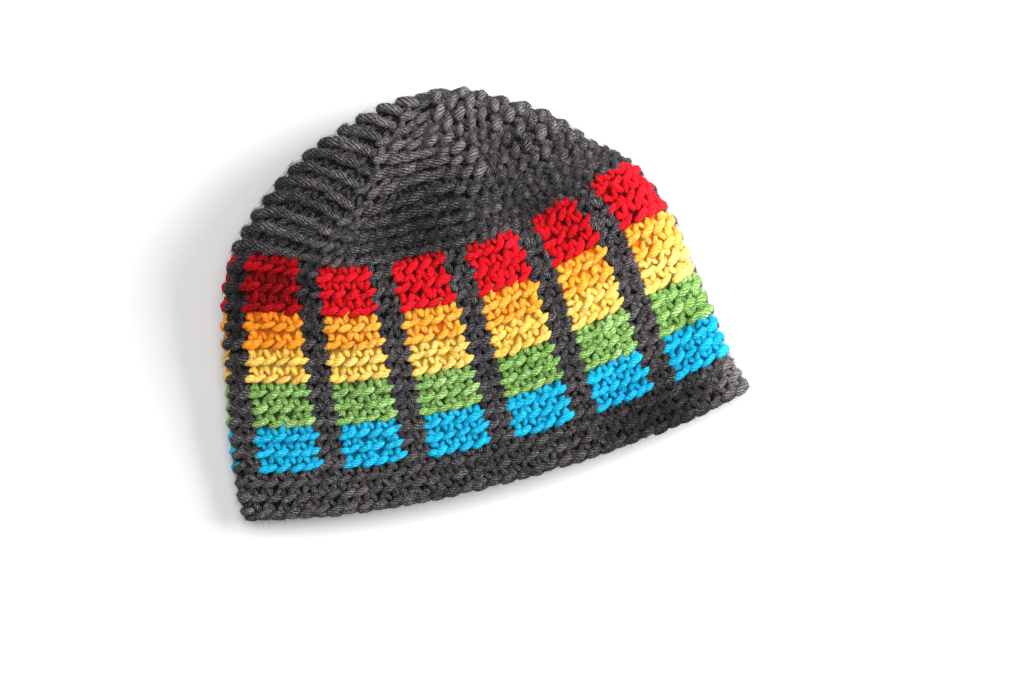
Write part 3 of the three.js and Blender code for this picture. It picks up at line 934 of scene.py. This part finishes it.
def yarn_material(name, yarn, plied, toned):
    material = bpy.data.materials.new(name)
    material.use_nodes = True
    tree = material.node_tree
    shader = tree.nodes["Principled BSDF"]
    shader.inputs["Roughness"].default_value = YARN_ROUGHNESS
    shader.inputs["Specular IOR Level"].default_value = YARN_SPECULAR
    shader.inputs["Sheen Weight"].default_value = SHEEN_WEIGHT
    shader.inputs["Sheen Roughness"].default_value = SHEEN_ROUGHNESS
    plies = node(tree, "ShaderNodeGroup", (-900, 0), node_tree=plied)
    tone = node(tree, "ShaderNodeGroup", (-600, 120), node_tree=toned)
    tone.inputs["Shadow"].default_value = (*yarn.shadow, 1)
    tone.inputs["Middle"].default_value = (*yarn.middle, 1)
    tone.inputs["Lit"].default_value = (*yarn.lit, 1)
    tone.inputs["Mottle"].default_value = yarn.mottle
    tree.links.new(plies.outputs["Ply"], tone.inputs["Ply"])
    tree.links.new(plies.outputs["Fibre"], tone.inputs["Fibre"])
    tree.links.new(tone.outputs["Color"], shader.inputs["Base Color"])
    bump = node(tree, "ShaderNodeBump", (-300, -260))
    bump.inputs["Strength"].default_value = 1
    bump.inputs["Distance"].default_value = RELIEF
    tree.links.new(plies.outputs["Height"], bump.inputs["Height"])
    tree.links.new(bump.outputs["Normal"], shader.inputs["Normal"])
    return material


def table_material():
    material = bpy.data.materials.new("white_table")
    material.use_nodes = True
    shader = material.node_tree.nodes["Principled BSDF"]
    shader.inputs["Base Color"].default_value = (TABLE_TONE, TABLE_TONE, TABLE_TONE, 1)
    shader.inputs["Roughness"].default_value = TABLE_ROUGHNESS
    shader.inputs["Specular IOR Level"].default_value = TABLE_SPECULAR
    return material


def make_hat():
    """The stitches, the inside and the fuzz of each part, each as a piece of its own."""
    plied = plied_yarn_group()
    toned = yarn_tone_group()
    materials = {name: yarn_material(name, yarn, plied, toned) for name, yarn in YARNS.items()}
    for number, part in enumerate(PARTS):
        places = part_stitches(part).T
        seed = number * PART_SEEDS
        inside = stitch_mesh(*places, seed + INSIDE_SEED, (INSIDE_BAR,))
        meshes = {
            "stitches": front_mesh(part, *places, seed),
            "inside": joined([inside, backing_mesh(part)]),
            "fuzz": fuzz_mesh(*places, seed, YARNS[part.yarn].fibres),
        }
        for kind, made in meshes.items():
            piece = mesh_object(f"{part.name}_{kind}", made, materials[part.yarn])
            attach(piece, "root")
            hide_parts(part.cad_node)


def make_camera():
    lens = bpy.data.cameras.new("camera")
    lens.sensor_width = SENSOR_WIDTH
    lens.lens = SENSOR_WIDTH * CAMERA_HEIGHT / VIEW_WIDTH
    lens.clip_start, lens.clip_end = CAMERA_RANGE
    camera = bpy.data.objects.new("camera", lens)
    turn = Matrix((CAMERA_RIGHT, CAMERA_UP, Vector((0, 0, 1)))).transposed()
    camera.matrix_world = turn.to_4x4()
    camera.location = (CAMERA_POINT + Vector((0, 0, CAMERA_HEIGHT))) * MM
    bpy.context.scene.collection.objects.link(camera)
    bpy.context.scene.camera = camera


def make_light(name, place, size, power):
    """A square soft light that points at the table under the middle of the hat."""
    right, up, height = place
    place = CAMERA_RIGHT * right + CAMERA_UP * up + Vector((0, 0, height))
    light = bpy.data.lights.new(name, "AREA")
    light.shape = "SQUARE"
    light.size = size
    light.energy = power
    lamp = bpy.data.objects.new(name, light)
    lamp.location = place
    lamp.rotation_mode = "QUATERNION"
    lamp.rotation_quaternion = (-place).to_track_quat("-Z", "Y")
    bpy.context.scene.collection.objects.link(lamp)


def make_table():
    corners = [
        (-TABLE_REACH, -TABLE_REACH, 0), (TABLE_REACH, -TABLE_REACH, 0),
        (TABLE_REACH, TABLE_REACH, 0), (-TABLE_REACH, TABLE_REACH, 0),
    ]
    mesh = bpy.data.meshes.new("table")
    mesh.from_pydata(corners, [], [(0, 1, 2, 3)])
    mesh.materials.append(table_material())
    table = bpy.data.objects.new("table", mesh)
    bpy.context.scene.collection.objects.link(table)


def make_studio():
    world = bpy.data.worlds.new("studio")
    bpy.context.scene.world = world
    world.use_nodes = True
    background = world.node_tree.nodes["Background"]
    background.inputs["Color"].default_value = (1, 1, 1, 1)
    background.inputs["Strength"].default_value = ROOM_LIGHT
    for name, place, size, power in LIGHTS:
        make_light(name, place, size, power)
    bpy.context.scene.view_settings.view_transform = "Standard"


make_hat()
make_camera()
make_table()
make_studio()
